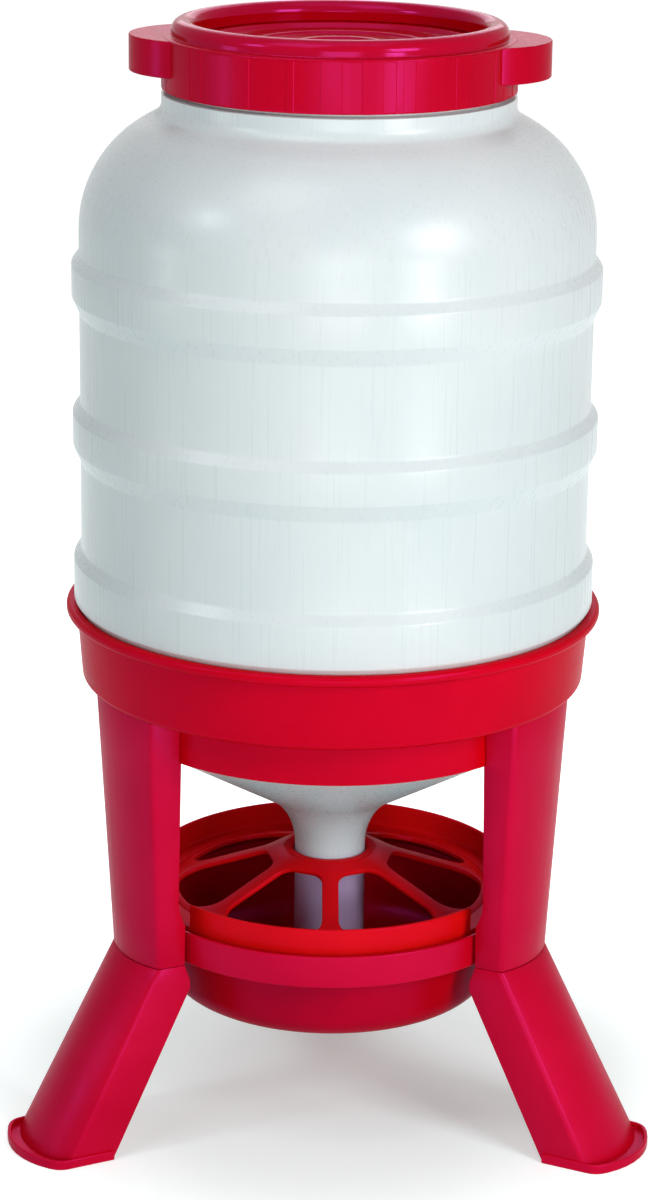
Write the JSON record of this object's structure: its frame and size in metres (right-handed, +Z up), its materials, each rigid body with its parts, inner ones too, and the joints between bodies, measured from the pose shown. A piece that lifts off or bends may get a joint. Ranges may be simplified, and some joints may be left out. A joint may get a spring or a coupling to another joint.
{
  "type": "poultry feeder",
  "caption": "Free-standing poultry feeder: a drum hopper with a screw lid rests in a legged stand and drops feed through a tube into a bowl under a spoked grille.",
  "frame": {"origin": "on the floor, on the hopper's centre line, midway between the three feet", "axes": "+Z up along the hopper's centre line, -Y towards the open side between the two front legs, +X to the right seen from the front"},
  "size_m": [0.458, 0.4451, 0.7849],
  "materials": {
    "stand_red": "glossy crimson moulded plastic",
    "bowl_red": "glossy dark red moulded plastic",
    "grille_red": "glossy orange-red moulded plastic",
    "lid_red": "glossy crimson moulded plastic",
    "hopper_white": "satin milky white blown plastic, slightly translucent",
    "gasket_black": "dull black foam rubber"
  },
  "bodies": {
    "stand": {"stand_ring": "stand_red", "upright_left": "stand_red", "upright_right": "stand_red", "upright_back": "stand_red", "bowl_ring": "stand_red", "foot_left": "stand_red", "foot_right": "stand_red", "foot_back": "stand_red"},
    "hopper": {"hopper": "hopper_white"},
    "cover": {"lid_disc": "lid_red", "lid_gasket": "gasket_black"},
    "screw_ring": {"lid_ring": "lid_red"},
    "bowl": {"bowl": "bowl_red"},
    "grille": {"grille": "grille_red"}
  },
  "joints": [
    {"name": "hopper_lift", "type": "slide", "parent": "stand", "child": "hopper", "axis": [0, 0, 1], "range_m": [0, 0.28]},
    {"name": "lid_lift", "type": "slide", "parent": "hopper", "child": "cover", "axis": [0, 0, 1], "range_m": [0, 0.0151]},
    {"name": "lid_turn", "type": "hinge", "parent": "cover", "child": "screw_ring", "pos_m": [0, 0, 0.7603], "axis": [0, 0, 1], "range_deg": [0, 450]},
    {"name": "bowl_lift", "type": "slide", "parent": "stand", "child": "bowl", "axis": [0, 0, 1], "range_m": [0, 0.005]},
    {"name": "grille_lift", "type": "slide", "parent": "bowl", "child": "grille", "axis": [0, 0, 1], "range_m": [0, 0.005]}
  ],
  "couplings": [
    {"joint": "lid_lift", "follows": "lid_turn", "m_per_rad": 0.0019099}
  ]
}
